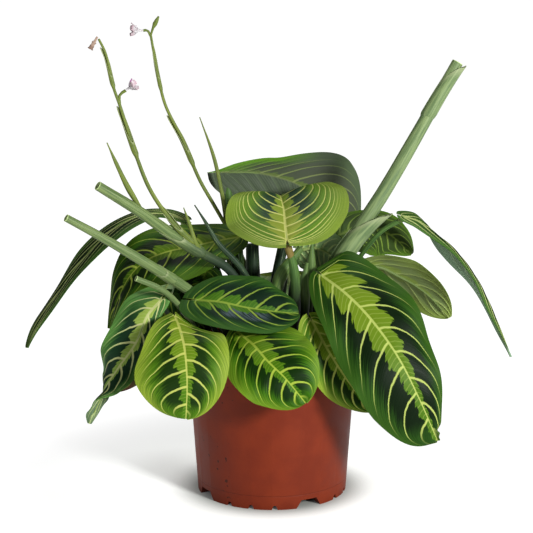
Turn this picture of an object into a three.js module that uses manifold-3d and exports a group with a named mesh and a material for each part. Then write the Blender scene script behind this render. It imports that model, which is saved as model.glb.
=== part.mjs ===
// Potted prayer plant (maranta) in a round plastic nursery pot.
// Millimetres, +Z up. The origin is the middle of the pot's foot, on the surface it stands on, and the
// front of the plant faces -Y. Each leaf is a thin curved blade built along its midrib, in one piece
// with its own stalk, which stands in a plain hole in the soil.
import * as THREE from "three";
import { mergeVertices } from "three/addons/utils/BufferGeometryUtils.js";
import Module from "manifold-3d";

const wasm = await Module();
wasm.setup();

// Pot: a thin moulded shell with a rolled rim, a recessed floor and a scalloped foot
const POT_HEIGHT = 105;
const FOOT_RADIUS = 53;
const WALL_TOP_RADIUS = 60;
const WALL = 1.6;
const RIM_RADIUS = 62.5;
const RIM_DEPTH = 7;
const FLOOR_LEVEL = 6;
const FOOT_RING = 9;
const POT_SIDES = 48;
const FOOT_PANELS = 4;
const FIRST_PANEL = -16;        // degrees from the front to the middle of the first foot panel
const DRAIN_GAP = { width: 20, height: 6, lean: 4 };
const FOOT_NOTCHES = [-18, 0, 18];
const FOOT_NOTCH = { width: 5, height: 3, lean: 1.5 };

// Soil and the holes that the stems stand in
const SOIL_LEVEL = 95;
const SOIL_SIDES = 32;
const SOIL = { bottomInset: 1, edgeDrop: 2, edgeWidth: 3, rise: 2 };
const HOLE_DEPTH = 10;
const HOLE_PLAY = 0.6;
const HOLE_SIDES = 6;
const GAP = 0.3;
const UPRIGHT_ABOVE_SOIL = 5;

// Blades and tubes
const BLADE_THICKNESS = 0.8;
const BLADE_ROWS = 10;
const BLADE_COLUMNS = 6;
const TUBE_SIDES = 5;
const TUBE_STEP = 17;
const NARROWEST = 1.3;
const CROWDING = 0.6;           // how much closer the rows of a blade lie by its base and its tip
const HALF_SHIFT = 0.3;         // how far the waves of one half of a leaf run ahead of the other's
const KEEL = { reach: 0.25, depths: [1.3, 1.1, 0.8], endRadius: 0.8 };
const BRACT = { steps: [0, 0.25, 0.5, 0.75, 1], radii: [0.6, 1, 0.95, 0.8], tipRadius: 0.5 };

const COLOURS = {
  pot: 0x8c3a26,
  soil: 0x2c211a,
  leaf: 0x4f8a22,
  leafDark: 0x2f5c2a,
  stem: 0x86ab60,
  stalk: 0x5c8a45,
  flower: 0xe9e2ee,
  withered: 0x8d7a5a,
};

// Each leaf is listed from its base to its tip. midrib holds points that the middle of the upper face
// passes through, and face the way that this face looks, at even steps along the leaf. The values in
// pairs are for the left and the right half, seen from above with the tip ahead: width in mm; belly,
// where along the leaf the half is widest; round, how full it is at the base and at the tip (smaller is
// fuller); and in degrees how much the half rises from the midrib (lift) and how much more it turns up
// by its edge (curl), both as stations along the leaf. lobe is how far the base corners reach back, wave
// the height, number and phase of the waves along the edge, and stalk the points and radii of the stalk
// between the soil and the blade.
const PLAIN_LEAF = {
  lift: [[0], [0]],
  curl: [[-12], [-12]],
  belly: [0.46, 0.46],
  round: [[0.5, 0.7], [0.5, 0.7]],
  lobe: 6,
  wave: [1.2, 2, 0],
  stalk: [],
  stalkRadii: [1.7],
  colour: COLOURS.leaf,
};

const LEAVES = [
  {
    ...PLAIN_LEAF,
    name: "leaf_front_right",
    root: [26, -22],
    stalk: [[29, -23, 132]],
    midrib: [[34, -30, 161], [50, -46, 152], [66, -60, 138], [84, -74, 115], [98, -80, 88], [111, -78, 58]],
    face: [[0.1, -0.55, 0.83], [0.1, -0.85, 0.5], [0.1, -0.98, 0.15]],
    width: [34, 37],
    curl: [[-20], [-20]],
    belly: [0.28, 0.57],
    round: [[0.12, 0.82], [0.43, 0.36]],
    wave: [1.6, 3, 0.1],
    lift: [[14, 6, 0, 0], [0]],
    lobe: 7,
  },
  {
    ...PLAIN_LEAF,
    name: "leaf_front_left",
    root: [-36, -25],
    stalk: [[-48, -33, 120]],
    midrib: [[-66, -51, 138], [-62, -68, 134], [-58, -85, 124], [-56, -96, 104], [-57, -96, 79]],
    face: [[0.45, -0.45, 0.8], [0, -0.95, 0.35], [0, -1, 0]],
    width: [29, 35],
    belly: [0.5, 0.64],
    round: [[0.55, 0.5], [0.6, 0.42]],
    wave: [1, 2, 0.4],
  },
  {
    ...PLAIN_LEAF,
    name: "leaf_front_middle",
    root: [-13, -31],
    stalk: [[-19, -38, 114]],
    midrib: [[-24, -48, 126], [-13, -66, 122], [-3, -80, 114], [9, -88, 104], [22, -90, 88]],
    face: [[0, -0.5, 0.86], [0, -0.8, 0.6], [0.1, -0.98, 0.1]],
    width: [32, 28],
    belly: [0.5, 0.55],
    round: [[0.5, 0.5], [0.55, 0.5]],
    wave: [1, 3, 0.2],
  },
  {
    ...PLAIN_LEAF,
    name: "leaf_across",
    root: [-30, -16],
    stalk: [[-40, -24, 122]],
    midrib: [[-51, -40, 146], [-35, -45, 146], [-19, -47, 143], [-1, -46, 140], [18, -41, 137]],
    face: [[0, -0.55, 0.84], [0, -0.6, 0.8], [0, -0.6, 0.8]],
    width: [26, 23],
    lift: [[12], [8]],
    belly: [0.5, 0.41],
    round: [[0.5, 0.38], [0.4, 0.5]],
    lobe: 11,
    colour: COLOURS.leafDark,
  },
  {
    ...PLAIN_LEAF,
    name: "leaf_heart",
    root: [13, -26],
    stalk: [[16, -28, 135], [15, -32, 165]],
    stalkRadii: [2.4, 3.6, 3.4, 1.9],
    midrib: [[10, -36, 187], [9, -18, 193], [8, 6, 201], [6, 28, 206], [6, 46, 202]],
    face: [[0, -0.2, 0.98], [0, -0.1, 1], [0, 0.2, 0.98]],
    width: [41, 46],
    lift: [[0, 4, 16, 20], [2, 14, 24, 26]],
    curl: [[-18], [-16]],
    belly: [0.44, 0.5],
    round: [[0.6, 0.9], [0.7, 0.45]],
    lobe: 9,
  },
  {
    ...PLAIN_LEAF,
    name: "leaf_crown",
    root: [-18, 34],
    stalk: [[-26, 52, 150], [-31, 60, 195]],
    stalkRadii: [2.6, 4, 3.8, 2.6],
    midrib: [[-33, 64, 217], [-18, 66, 217], [0, 67, 214], [18, 67, 208], [38, 64, 195], [62, 60, 170]],
    face: [[0, -0.2, 0.98], [0.15, -0.25, 0.95], [0.5, -0.35, 0.8], [0.75, -0.3, 0.5]],
    width: [44, 32],
    lift: [[-8, 8, 32, 34], [-50, -60, -45, -20]],
    curl: [[0, -10, -30], [-25]],
    belly: [0.62, 0.46],
    lobe: 14,
    colour: COLOURS.leafDark,
    round: [[0.8, 0.75], [0.5, 0.7]],
  },
  {
    ...PLAIN_LEAF,
    name: "leaf_far_left",
    root: [-26, 20],
    stalk: [[-36, 44, 140], [-52, 56, 172]],
    midrib: [[-64, 54, 184], [-77, 52, 188], [-90, 47, 189], [-107, 39, 184], [-123, 29, 173],
      [-139, 18, 156], [-154, 10, 136], [-167, 4, 116], [-173, 0, 102]],
    face: [[-0.1, -0.2, 0.97], [-0.6, -0.15, 0.78], [-0.85, -0.2, 0.5]],
    width: [21, 17],
    lift: [[4], [8]],
    belly: [0.5, 0.42],
    round: [[0.6, 1.3], [0.5, 0.5]],
  },
  {
    ...PLAIN_LEAF,
    name: "leaf_left_wide",
    root: [-19, 4],
    stalk: [[-20, 6, 140]],
    midrib: [[-23, 10, 180], [-40, 9, 177], [-58, 8, 173], [-74, 6, 170], [-89, 3, 164], [-101, 0, 152],
      [-109, -4, 136], [-114, -8, 118]],
    face: [[0, -0.42, 0.9], [-0.1, -0.5, 0.86], [-0.9, -0.3, 0.3]],
    width: [36, 28],
    lift: [[11], [5]],
    belly: [0.4, 0.42],
    round: [[0.5, 0.9], [0.6, 0.9]],
  },
  {
    ...PLAIN_LEAF,
    name: "leaf_left_low",
    root: [-42, -15],
    stalk: [[-61, -34, 122]],
    midrib: [[-76, -46, 147], [-84, -54, 139], [-92, -60, 121], [-103, -64, 106], [-115, -66, 88],
      [-124, -64, 66]],
    face: [[-0.3, -0.7, 0.65], [-0.3, -0.8, 0.4], [-0.35, -0.9, 0.2], [-0.45, -0.88, 0.05],
      [-0.9, -0.5, 0], [-0.8, 0.6, 0], [0, 1, 0]],
    width: [14, 23],
    lift: [[-30, -50, -40, -10, 0], [0]],
    belly: [0.5, 0.28],
    round: [[0.5, 0.8], [0.4, 1.15]],
    lobe: 9,
  },
  {
    ...PLAIN_LEAF,
    name: "leaf_left_hidden",
    root: [-45, -4],
    stalk: [[-56, -8, 122]],
    midrib: [[-71, -17, 142], [-84, -25, 121], [-97, -31, 101], [-111, -34, 80]],
    face: [[-0.3, -0.6, 0.7], [-0.4, -0.8, 0.4], [-0.4, -0.8, 0.4]],
    width: [20, 20],
    colour: COLOURS.leafDark,
  },
  {
    ...PLAIN_LEAF,
    name: "leaf_right_back",
    root: [24, 14],
    stalk: [[40, 30, 145]],
    midrib: [[48, 36, 176], [62, 42, 180], [76, 45, 179], [89, 44, 172], [100, 38, 161]],
    face: [[0, -0.3, 0.95], [0.1, -0.4, 0.9], [0.6, -0.4, 0.7]],
    width: [28, 32],
    colour: COLOURS.leafDark,
    round: [[0.5, 0.5], [0.4, 0.5]],
  },
  {
    ...PLAIN_LEAF,
    name: "leaf_right_under",
    root: [40, -12],
    stalk: [[50, -8, 135]],
    midrib: [[62, 0, 161], [74, 4, 161], [90, 6, 153], [108, 4, 142], [125, 0, 124]],
    face: [[0.1, 0.7, 0.7], [0.1, 0.75, 0.65], [0.2, 0.8, 0.55]],
    width: [22, 23],
  },
  {
    ...PLAIN_LEAF,
    name: "leaf_far_right",
    root: [36, 10],
    stalk: [[54, 14, 150], [76, 14, 182]],
    midrib: [[93, 12, 194], [104, 14, 190], [118, 16, 180], [131, 18, 168], [145, 18, 150], [158, 20, 125],
      [172, 20, 90]],
    face: [[0, -0.4, 0.9], [0.5, 0.5, 0.6], [0.6, 0.42, 0.68], [0.6, 0.42, 0.6]],
    width: [16, 9],
    lift: [[0], [-10, -35, -35]],
    curl: [[-10], [-40]],
    belly: [0.42, 0.4],
    round: [[0.5, 1.6], [0.5, 1.2]],
  },
  {
    ...PLAIN_LEAF,
    name: "leaf_right_low",
    root: [16, -38],
    stalk: [[20, -44, 118]],
    midrib: [[27, -46, 133], [37, -54, 116], [50, -54, 95], [67, -54, 72]],
    face: [[0.3, -0.7, 0.6], [0.35, -0.9, 0.3], [0.35, -0.95, 0.1]],
    width: [19, 20],
  },
  {
    ...PLAIN_LEAF,
    name: "leaf_shaded_right",
    root: [10, 24],
    stalk: [[14, 26, 140]],
    midrib: [[19, 25, 168], [31, 22, 170], [42, 18, 166], [50, 14, 159]],
    face: [[0, 0.75, 0.65], [0, 0.75, 0.65], [0.2, 0.75, 0.6]],
    width: [18, 18],
    round: [[0.4, 0.5], [0.4, 0.5]],
    lobe: 4,
    colour: COLOURS.leafDark,
  },
  {
    ...PLAIN_LEAF,
    name: "leaf_shaded_left",
    root: [-40, 12],
    stalk: [[-43, 17, 135]],
    midrib: [[-46, 14, 155], [-49, 8, 148], [-51, 5, 134], [-52, 4, 121], [-53, 4, 109]],
    face: [[-0.1, -0.5, 0.85], [-0.1, -0.95, 0.3], [0, -1, 0]],
    width: [20, 20],
    lobe: 4,
    colour: COLOURS.leafDark,
  },
  {
    ...PLAIN_LEAF,
    name: "leaf_back_right",
    root: [32, 26],
    stalk: [[38, 40, 130]],
    midrib: [[38, 50, 160], [54, 62, 158], [72, 74, 146], [88, 82, 122], [98, 84, 96]],
    face: [[0.1, -0.3, 0.93], [0.5, 0.3, 0.8], [0.7, 0.7, 0.2]],
    width: [28, 28],
    lobe: 12,
  },
  {
    ...PLAIN_LEAF,
    name: "leaf_back_middle",
    root: [6, 38],
    stalk: [[8, 50, 120]],
    midrib: [[10, 62, 142], [12, 76, 140], [14, 88, 126], [15, 95, 106], [15, 98, 86]],
    face: [[0, 0.4, 0.9], [0, 0.9, 0.4], [0, 1, 0]],
    width: [30, 30],
  },
  {
    ...PLAIN_LEAF,
    name: "leaf_back_left",
    root: [-34, 32],
    stalk: [[-44, 46, 124]],
    midrib: [[-54, 58, 148], [-68, 68, 144], [-80, 76, 128], [-88, 82, 106], [-92, 84, 84]],
    face: [[-0.2, 0.3, 0.93], [-0.6, 0.6, 0.5], [-0.7, 0.7, 0.1]],
    width: [29, 29],
  },
];

// Shoots: old stems that were cut back, flower stalks, rolled young leaves and bare stalks. Each is a
// root, the points of its path above the soil and radii at even steps from the root to the tip. bracts
// wrap it between two places along it, radius wide, and the tip of a bract leans away from the shoot.
const SHOOTS = [
  {
    name: "cut_stem_right",
    root: [31, -4],
    path: [[39, -4, 140], [47, -2, 164], [79, 8, 214], [103, 15, 255], [129, 23, 301]],
    radii: [4.6, 5, 5.2, 5, 4.6, 4],
    bracts: [{ from: 0.3, to: 0.6, radius: 6.8, lean: [5, -3, 0] }],
    sides: 8,
  },
  {
    name: "cut_stem_left",
    root: [-28, -4],
    path: [[-36, -11, 127], [-53, -24, 146], [-83, -43, 171], [-115, -57, 194], [-136, -66, 208]],
    radii: [3.4, 3.6, 3.8, 3.5, 3, 2.6],
    bracts: [{ from: 0.5, to: 0.62, radius: 4.4, lean: [0, -1, 1] }],
    sides: 8,
  },
  {
    name: "flowering_shoot_left",
    root: [-12, -14],
    path: [[-18, -16, 142], [-30, -20, 163], [-49, -30, 177], [-69, -39, 192], [-88, -51, 209],
      [-115, -63, 229]],
    radii: [3, 3, 3.1, 3.4, 3.8, 3.6, 3.2],
    bracts: [{ from: 0.52, to: 0.8, radius: 4.6, lean: [0, -2, 2] }],
    sides: 8,
    branches: [
      // the flower stalk
      {
        path: [[-42, -27, 172], [-54, -34, 185], [-68, -40, 201], [-82, -43, 223], [-92, -45, 250],
          [-101, -46, 280], [-105, -46, 292], [-110, -46, 315], [-114, -48, 324]],
        radii: [1.7, 1.5, 1.4, 1.2, 1, 0.8],
        bracts: [
          { from: 0.1, to: 0.32, radius: 2.6, lean: [1, -1, 1] },
          { from: 0.52, to: 0.74, radius: 2.3, lean: [-1, -1, 0] },
          { from: 0.8, to: 0.97, radius: 1.7, lean: [-1, -1, 0] },
        ],
      },
      // the foot of a flower
      { path: [[-101, -46, 281], [-101, -46, 287], [-97, -46, 290]], radii: [0.9, 0.9, 1.1] },
      // two young leaves, still rolled
      {
        path: [[-86, -50, 208], [-96, -53, 226], [-102, -56, 240], [-109, -58, 257]],
        radii: [1.2, 2, 1.4, 0.4],
      },
      {
        path: [[-47, -30, 177], [-52, -34, 184], [-56, -34, 197], [-60, -34, 209]],
        radii: [1.4, 1.8, 1.4, 0.4],
      },
    ],
  },
  {
    name: "cut_stem_left_short",
    root: [-44, -26],
    path: [[-52, -31, 122], [-64, -40, 143], [-75, -50, 156], [-91, -57, 165]],
    radii: [2, 2, 2.1, 2, 1.9],
  },
  {
    name: "flower_stalk_back",
    root: [-8, 24],
    path: [[-18, 40, 150], [-33, 47, 180], [-42, 48, 196], [-52, 48, 214], [-64, 48, 243], [-76, 48, 268],
      [-81, 48, 289], [-86, 48, 319]],
    radii: [1.5, 1.5, 1.5, 1.4, 1.3, 1.2, 1.1, 1, 0.9],
    bracts: [
      { from: 0.6, to: 0.77, radius: 2.2, lean: [-1, -1, 0] },
      { from: 0.83, to: 0.98, radius: 1.6, lean: [1, -1, 0] },
    ],
    branches: [
      // a bud and the foot of a flower
      {
        path: [[-86, 48, 317], [-84, 48, 323], [-82, 48, 327], [-80, 48, 331]],
        radii: [0.8, 0.8, 1.8, 0.6],
      },
      { path: [[-86, 48, 317], [-88, 48, 321], [-91, 48, 321]], radii: [0.8, 0.9, 1] },
    ],
  },
  {
    name: "rolled_leaf_left",
    root: [-4, -10],
    path: [[-10, -17, 140], [-21, -22, 164], [-37, -26, 183], [-46, -25, 198], [-53, -24, 209]],
    radii: [1.6, 2, 2.2, 1.8, 0.5],
  },
  {
    name: "rolled_leaf_back",
    root: [-26, 37],
    path: [[-31, 47, 150], [-34, 51, 190], [-38, 52, 213], [-42, 54, 230], [-52, 58, 258]],
    radii: [1.5, 1.6, 1.6, 1.4, 0.4],
  },
  {
    name: "rolled_leaf_right",
    root: [24, -11],
    path: [[27, -13, 140], [27, -14, 162], [28, -13, 187]],
    radii: [1.6, 2.2, 3, 0.5],
  },
  {
    name: "sheath_right",
    root: [21, -17],
    path: [[22, -20, 138], [22, -21, 155], [24, -21, 168]],
    radii: [1.8, 3.2, 3.6, 0.6],
  },
  {
    name: "sheath_middle",
    root: [4, -20],
    path: [[2, -19, 140], [6, -18, 158], [20, -14, 177]],
    radii: [3.4, 4.4, 4.6, 2.4],
  },
  {
    name: "bare_stalk_left",
    root: [-11, 10],
    path: [[-13, 12, 140], [-14, 13, 174]],
    radii: [4.2, 5.2, 4.6],
  },
  {
    name: "bare_stalk_right",
    root: [3, 2],
    path: [[2, 5, 140], [8, 10, 176]],
    radii: [3.4, 4, 3.6],
  },
];

// Flowers: each has a short throat that starts at foot and runs along axis, and petals of length reach
const FLOWERS = [
  {
    name: "flower_left",
    foot: [-96.6, -46, 290.4],
    axis: [0.8, -0.2, 0.55],
    petals: 5,
    reach: 8,
    colour: COLOURS.flower,
  },
  {
    name: "flower_back",
    foot: [-91.5, 48, 321],
    axis: [-0.95, -0.2, 0.1],
    petals: 5,
    reach: 9,
    colour: COLOURS.flower,
  },
  {
    name: "flower_withered",
    foot: [-114.8, -48.3, 325.6],
    axis: [-0.5, -0.2, -0.85],
    petals: 3,
    reach: 10,
    colour: COLOURS.withered,
  },
];

function vector([x, y, z]) {
  return new THREE.Vector3(x, y, z);
}

// A value between stations at even steps, eased so that it has no corners
function between(stations, s) {
  const last = stations.length - 1;
  if (last === 0) return stations[0];
  const at = THREE.MathUtils.clamp(s, 0, 1) * last;
  const index = Math.min(Math.floor(at), last - 1);
  const eased = THREE.MathUtils.smoothstep(at - index, 0, 1);
  return THREE.MathUtils.lerp(stations[index], stations[index + 1], eased);
}

function vectorBetween(stations, s) {
  return vector([0, 1, 2].map((axis) => between(stations.map((station) => station[axis]), s)));
}

// A closed geometry as a solid that can be joined and cut
function solidOf(geometry) {
  const bare = geometry.clone();
  bare.deleteAttribute("normal");
  bare.deleteAttribute("uv");
  const merged = mergeVertices(bare, 1e-4);
  return new wasm.Manifold(new wasm.Mesh({
    numProp: 3,
    vertProperties: new Float32Array(merged.attributes.position.array),
    triVerts: new Uint32Array(merged.index.array),
  }));
}

function meshOf(name, solid, colour, roughness = 0.55) {
  const { vertProperties, triVerts } = solid.getMesh();
  const geometry = new THREE.BufferGeometry();
  geometry.setAttribute("position", new THREE.BufferAttribute(new Float32Array(vertProperties), 3));
  geometry.setIndex(new THREE.BufferAttribute(new Uint32Array(triVerts), 1));
  geometry.computeVertexNormals();
  const material = new THREE.MeshStandardMaterial({ color: colour, roughness, metalness: 0 });
  const mesh = new THREE.Mesh(geometry, material);
  mesh.name = name;
  return mesh;
}

function geometryOf(points, triangles) {
  const geometry = new THREE.BufferGeometry();
  geometry.setAttribute("position", new THREE.Float32BufferAttribute(points.flatMap((p) => p.toArray()), 3));
  geometry.setIndex(triangles.flat());
  return geometry;
}

// A closed tube of changing radius along a curve, with flat ends
function tubeSolid(points, radii, sides = TUBE_SIDES, step = TUBE_STEP) {
  const curve = new THREE.CatmullRomCurve3(points, false, "centripetal");
  const rings = Math.max(2, Math.round(curve.getLength() / step));
  const { normals, binormals } = curve.computeFrenetFrames(rings, false);
  const vertices = [];
  const triangles = [];
  for (let ring = 0; ring <= rings; ring += 1) {
    const s = ring / rings;
    const radius = between(radii, s);
    for (let side = 0; side < sides; side += 1) {
      const angle = (2 * Math.PI * side) / sides;
      vertices.push(curve.getPointAt(s)
        .addScaledVector(normals[ring], radius * Math.cos(angle))
        .addScaledVector(binormals[ring], radius * Math.sin(angle)));
    }
  }
  const start = vertices.push(curve.getPointAt(0)) - 1;
  const end = vertices.push(curve.getPointAt(1)) - 1;
  for (let side = 0; side < sides; side += 1) {
    const next = (side + 1) % sides;
    for (let ring = 0; ring < rings; ring += 1) {
      const a = ring * sides + side;
      const b = ring * sides + next;
      triangles.push([a, b, b + sides], [a, b + sides, a + sides]);
    }
    triangles.push([start, next, side], [end, rings * sides + side, rings * sides + next]);
  }
  return solidOf(geometryOf(vertices, triangles));
}

// Half the width of a leaf at s along its midrib
function halfWidth(leaf, s, side) {
  const stretch = Math.log(0.5) / Math.log(leaf.belly[side]);
  const fullness = THREE.MathUtils.lerp(...leaf.round[side], s);
  const profile = Math.sin(Math.PI * s ** stretch) ** fullness || 0;
  return NARROWEST + (leaf.width[side] - NARROWEST) * profile;
}

// The upper face of a leaf: s runs from its base to its tip, and v from -1 at the left edge to 1
function leafSurface(leaf) {
  const midrib = new THREE.CatmullRomCurve3(leaf.midrib.map(vector), false, "centripetal");
  return (s, v) => {
    const side = v < 0 ? 0 : 1;
    const reach = Math.abs(v);
    const along = midrib.getTangentAt(s);
    const face = vectorBetween(leaf.face, s);
    const normal = face.addScaledVector(along, -face.dot(along)).normalize();
    const across = new THREE.Vector3().crossVectors(along, normal).multiplyScalar(Math.sign(v));
    const half = halfWidth(leaf, s, side);
    const lift = THREE.MathUtils.degToRad(between(leaf.lift[side], s));
    const curl = THREE.MathUtils.degToRad(between(leaf.curl[side], s)) || 1e-3;
    const out = (half * (Math.sin(lift + curl * reach) - Math.sin(lift))) / curl;
    const up = (half * (Math.cos(lift) - Math.cos(lift + curl * reach))) / curl;
    const [height, count, phase] = leaf.wave;
    const wave = height * reach ** 2 * Math.sin(2 * Math.PI * (count * s + phase + HALF_SHIFT * side));
    const back = leaf.lobe * reach ** 2 * (1 - s) ** 3;
    return midrib.getPointAt(s)
      .addScaledVector(across, out)
      .addScaledVector(normal, up + wave)
      .addScaledVector(along, -back);
  };
}

function surfaceNormal(surface, s, v) {
  const h = 0.01;
  const lengthwise = surface(Math.min(s + h, 1), v).sub(surface(Math.max(s - h, 0), v));
  const crosswise = surface(s, Math.min(v + h, 1)).sub(surface(s, Math.max(v - h, -1)));
  return crosswise.cross(lengthwise).normalize();
}

// Rows lie closer together by the base and the tip, where the outline turns
function closerAtEnds(u) {
  const eased = (1 - Math.cos(Math.PI * u)) / 2;
  return THREE.MathUtils.lerp(u, eased, CROWDING);
}

// A surface thickened into a closed blade. Both faces are split into the same triangles.
function bladeSolid(surface, rows = BLADE_ROWS, columns = BLADE_COLUMNS) {
  const upper = [];
  const lower = [];
  for (let row = 0; row <= rows; row += 1) {
    for (let column = 0; column <= columns; column += 1) {
      const s = closerAtEnds(row / rows);
      const v = (2 * column) / columns - 1;
      const point = surface(s, v);
      upper.push(point);
      lower.push(point.clone().addScaledVector(surfaceNormal(surface, s, v), -BLADE_THICKNESS));
    }
  }
  const triangles = [];
  const below = upper.length;
  const quad = (a, b, c, d) => triangles.push([a, b, c], [a, c, d]);
  const at = (row, column) => row * (columns + 1) + column;
  for (let row = 0; row < rows; row += 1) {
    for (let column = 0; column < columns; column += 1) {
      const a = at(row, column);
      const b = at(row + 1, column);
      quad(a, a + 1, b + 1, b);
      triangles.push([below + a, below + b + 1, below + a + 1], [below + a, below + b, below + b + 1]);
    }
    quad(at(row + 1, 0), below + at(row + 1, 0), below + at(row, 0), at(row, 0));
    quad(at(row, columns), below + at(row, columns), below + at(row + 1, columns), at(row + 1, columns));
  }
  for (let column = 0; column < columns; column += 1) {
    quad(at(0, column), below + at(0, column), below + at(0, column + 1), at(0, column + 1));
    quad(at(rows, column + 1), below + at(rows, column + 1), below + at(rows, column), at(rows, column));
  }
  return solidOf(geometryOf([...upper, ...lower], triangles));
}

// The straight foot of a stem, which stands in its hole in the soil
function rootPoints([x, y]) {
  const lowest = SOIL_LEVEL - HOLE_DEPTH + GAP;
  const highest = SOIL_LEVEL + UPRIGHT_ABOVE_SOIL;
  return [lowest, SOIL_LEVEL - HOLE_DEPTH / 2, highest].map((z) => vector([x, y, z]));
}

// A leaf's stalk rises to the base of the blade and runs on under it as the start of its midrib
function leafSolid(leaf) {
  const surface = leafSurface(leaf);
  const under = (s, depth) => surface(s, 0).addScaledVector(surfaceNormal(surface, s, 0), -depth);
  const stations = [0, KEEL.reach / 3, KEEL.reach];
  const keel = stations.map((s, index) => under(s, KEEL.depths[index]));
  const stalk = [...rootPoints(leaf.root), ...leaf.stalk.map(vector), keel[0]];
  const top = leaf.stalkRadii.at(-1);
  return bladeSolid(surface)
    .add(tubeSolid(stalk, [leaf.stalkRadii[0], ...leaf.stalkRadii]))
    .add(tubeSolid(keel, [top * 0.9, KEEL.endRadius]));
}

// A bract wraps its stem like a sleeve and leaves it at the tip
function bractSolid(curve, { from, to, radius, lean }, sides) {
  const points = BRACT.steps.map((step) => curve.getPointAt(THREE.MathUtils.lerp(from, to, step)));
  points.at(-1).add(vector(lean));
  const radii = BRACT.radii.map((part) => part * radius);
  return tubeSolid(points, [...radii, BRACT.tipRadius], sides);
}

function branchSolid({ path, radii, bracts = [], sides = TUBE_SIDES }) {
  const points = path.map(vector);
  const curve = new THREE.CatmullRomCurve3(points, false, "centripetal");
  let solid = tubeSolid(points, radii, sides);
  for (const bract of bracts) solid = solid.add(bractSolid(curve, bract, sides));
  return solid;
}

function shootSolid(shoot) {
  const path = [...rootPoints(shoot.root).map((point) => point.toArray()), ...shoot.path];
  let solid = branchSolid({ ...shoot, path, radii: [shoot.radii[0], ...shoot.radii] });
  for (const branch of shoot.branches ?? []) solid = solid.add(branchSolid(branch));
  return solid;
}

// Petals spread round the axis from a short throat
function flowerSolid({ foot, axis, petals, reach }) {
  const throatLength = reach * 0.4;
  const petalWidth = reach * 0.2;
  const firstTurn = 0.4;
  const ahead = vector(axis).normalize();
  const side = new THREE.Vector3(0, 0, 1).cross(ahead).normalize();
  const start = vector(foot);
  const throat = start.clone().addScaledVector(ahead, throatLength);
  const throatEnd = throat.clone().addScaledVector(ahead, 0.5);
  let flower = tubeSolid([start, throatEnd], [0.7, 1.1], TUBE_SIDES, throatLength);
  for (let petal = 0; petal < petals; petal += 1) {
    const turn = (2 * Math.PI * petal) / petals + firstTurn;
    const outward = side.clone().applyAxisAngle(ahead, turn);
    const at = (forward, out) => throat.clone()
      .addScaledVector(ahead, reach * forward)
      .addScaledVector(outward, reach * out)
      .toArray();
    const petalLeaf = {
      ...PLAIN_LEAF,
      midrib: [at(0, 0.08), at(0.25, 0.24), at(0.5, 0.5)],
      face: [ahead.clone().sub(outward).toArray()],
      width: [petalWidth, petalWidth],
      lobe: 0,
      wave: [0, 1, 0],
    };
    flower = flower.add(bladeSolid(leafSurface(petalLeaf), 3, 2));
  }
  return flower;
}

// Radius of the pot's outer wall at a height
function wallRadius(z) {
  return THREE.MathUtils.lerp(FOOT_RADIUS, WALL_TOP_RADIUS, z / POT_HEIGHT);
}

function latheSolid(outline, sides) {
  const points = outline.map(([x, z]) => new THREE.Vector2(x, z));
  return solidOf(new THREE.LatheGeometry(points, sides).rotateX(Math.PI / 2));
}

// A block that leans in at its sides, for the openings in the pot's foot
function footCutter({ width, height, lean }, degrees) {
  const below = 1;
  const shape = new THREE.Shape([
    new THREE.Vector2(-width / 2, -below),
    new THREE.Vector2(width / 2, -below),
    new THREE.Vector2(width / 2 - lean, height),
    new THREE.Vector2(-width / 2 + lean, height),
  ]);
  const block = new THREE.ExtrudeGeometry(shape, { depth: FOOT_RING + 5, bevelEnabled: false });
  block.rotateX(Math.PI / 2);
  block.translate(0, -FOOT_RADIUS + FOOT_RING, 0);
  block.rotateZ(THREE.MathUtils.degToRad(degrees));
  return solidOf(block);
}

// The rim is rolled outward, and the foot is a ring that stands below the floor
function potSolid() {
  const rimFoot = POT_HEIGHT - RIM_DEPTH;
  const rimRound = 1;
  const ringSlope = 3;
  let pot = latheSolid([
    [0, FLOOR_LEVEL],
    [FOOT_RADIUS - FOOT_RING, FLOOR_LEVEL],
    [FOOT_RADIUS - FOOT_RING + ringSlope, 0],
    [FOOT_RADIUS, 0],
    [wallRadius(rimFoot), rimFoot],
    [RIM_RADIUS, rimFoot + rimRound],
    [RIM_RADIUS, POT_HEIGHT - rimRound],
    [RIM_RADIUS - rimRound, POT_HEIGHT],
    [WALL_TOP_RADIUS - WALL, POT_HEIGHT],
    [wallRadius(FLOOR_LEVEL) - WALL, FLOOR_LEVEL + WALL],
    [0, FLOOR_LEVEL + WALL],
  ], POT_SIDES);
  for (let panel = 0; panel < FOOT_PANELS; panel += 1) {
    const middle = FIRST_PANEL + (360 / FOOT_PANELS) * panel;
    for (const notch of FOOT_NOTCHES) pot = pot.subtract(footCutter(FOOT_NOTCH, middle + notch));
    pot = pot.subtract(footCutter(DRAIN_GAP, middle + 180 / FOOT_PANELS));
  }
  return pot;
}

function holeSolid([x, y], radius) {
  const aboveSoil = 5;
  const depth = HOLE_DEPTH + aboveSoil;
  const corner = (radius + HOLE_PLAY) / Math.cos(Math.PI / HOLE_SIDES);
  const hole = new THREE.CylinderGeometry(corner, corner, depth, HOLE_SIDES);
  hole.rotateX(Math.PI / 2);
  hole.translate(x, y, SOIL_LEVEL + aboveSoil - depth / 2);
  return solidOf(hole);
}

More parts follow.
